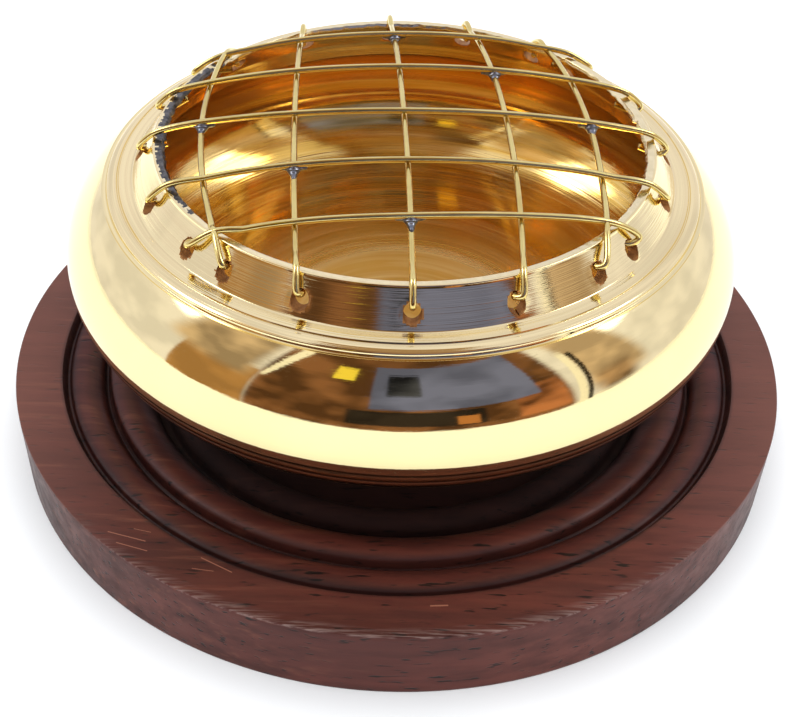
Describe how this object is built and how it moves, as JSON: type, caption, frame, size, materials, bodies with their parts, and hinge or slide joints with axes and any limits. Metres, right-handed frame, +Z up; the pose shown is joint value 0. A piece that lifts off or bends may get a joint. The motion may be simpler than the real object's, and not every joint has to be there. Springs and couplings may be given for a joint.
{
  "type": "table censer with wire screen",
  "caption": "Squat turned brass incense bowl with a domed wire screen over its mouth, resting in the recess of a turned dark hardwood coaster.",
  "frame": {"origin": "centre of the coaster's underside, on the axis of the bowl and the coaster", "axes": "+Z up along the turned axis; +X runs along the screen's row wires to the right, +Y along its column wires towards the back"},
  "size_m": [0.1208, 0.1208, 0.0567],
  "materials": {
    "dark_wood": "dark stained, oiled satin",
    "polished_brass": "turned and polished, slightly tarnished inside",
    "brass_wire": "drawn, slightly tarnished",
    "soft_solder": "dull, uneven"
  },
  "bodies": {
    "base": {"coaster": "dark_wood"},
    "burner": {"bowl": "polished_brass", "row_wire_1": "brass_wire", "row_wire_2": "brass_wire", "row_wire_3": "brass_wire", "row_wire_4": "brass_wire", "row_wire_5": "brass_wire", "column_wire_1": "brass_wire", "column_wire_2": "brass_wire", "column_wire_3": "brass_wire", "column_wire_4": "brass_wire", "column_wire_5": "brass_wire", "solder_joint_1": "soft_solder", "solder_joint_2": "soft_solder", "solder_joint_3": "soft_solder", "solder_joint_4": "soft_solder", "solder_joint_5": "soft_solder", "solder_joint_6": "soft_solder"}
  },
  "joints": [
    {"name": "bowl_lift", "type": "slide", "parent": "base", "child": "burner", "axis": [0, 0, 1], "range_m": [0, 0.04]}
  ]
}
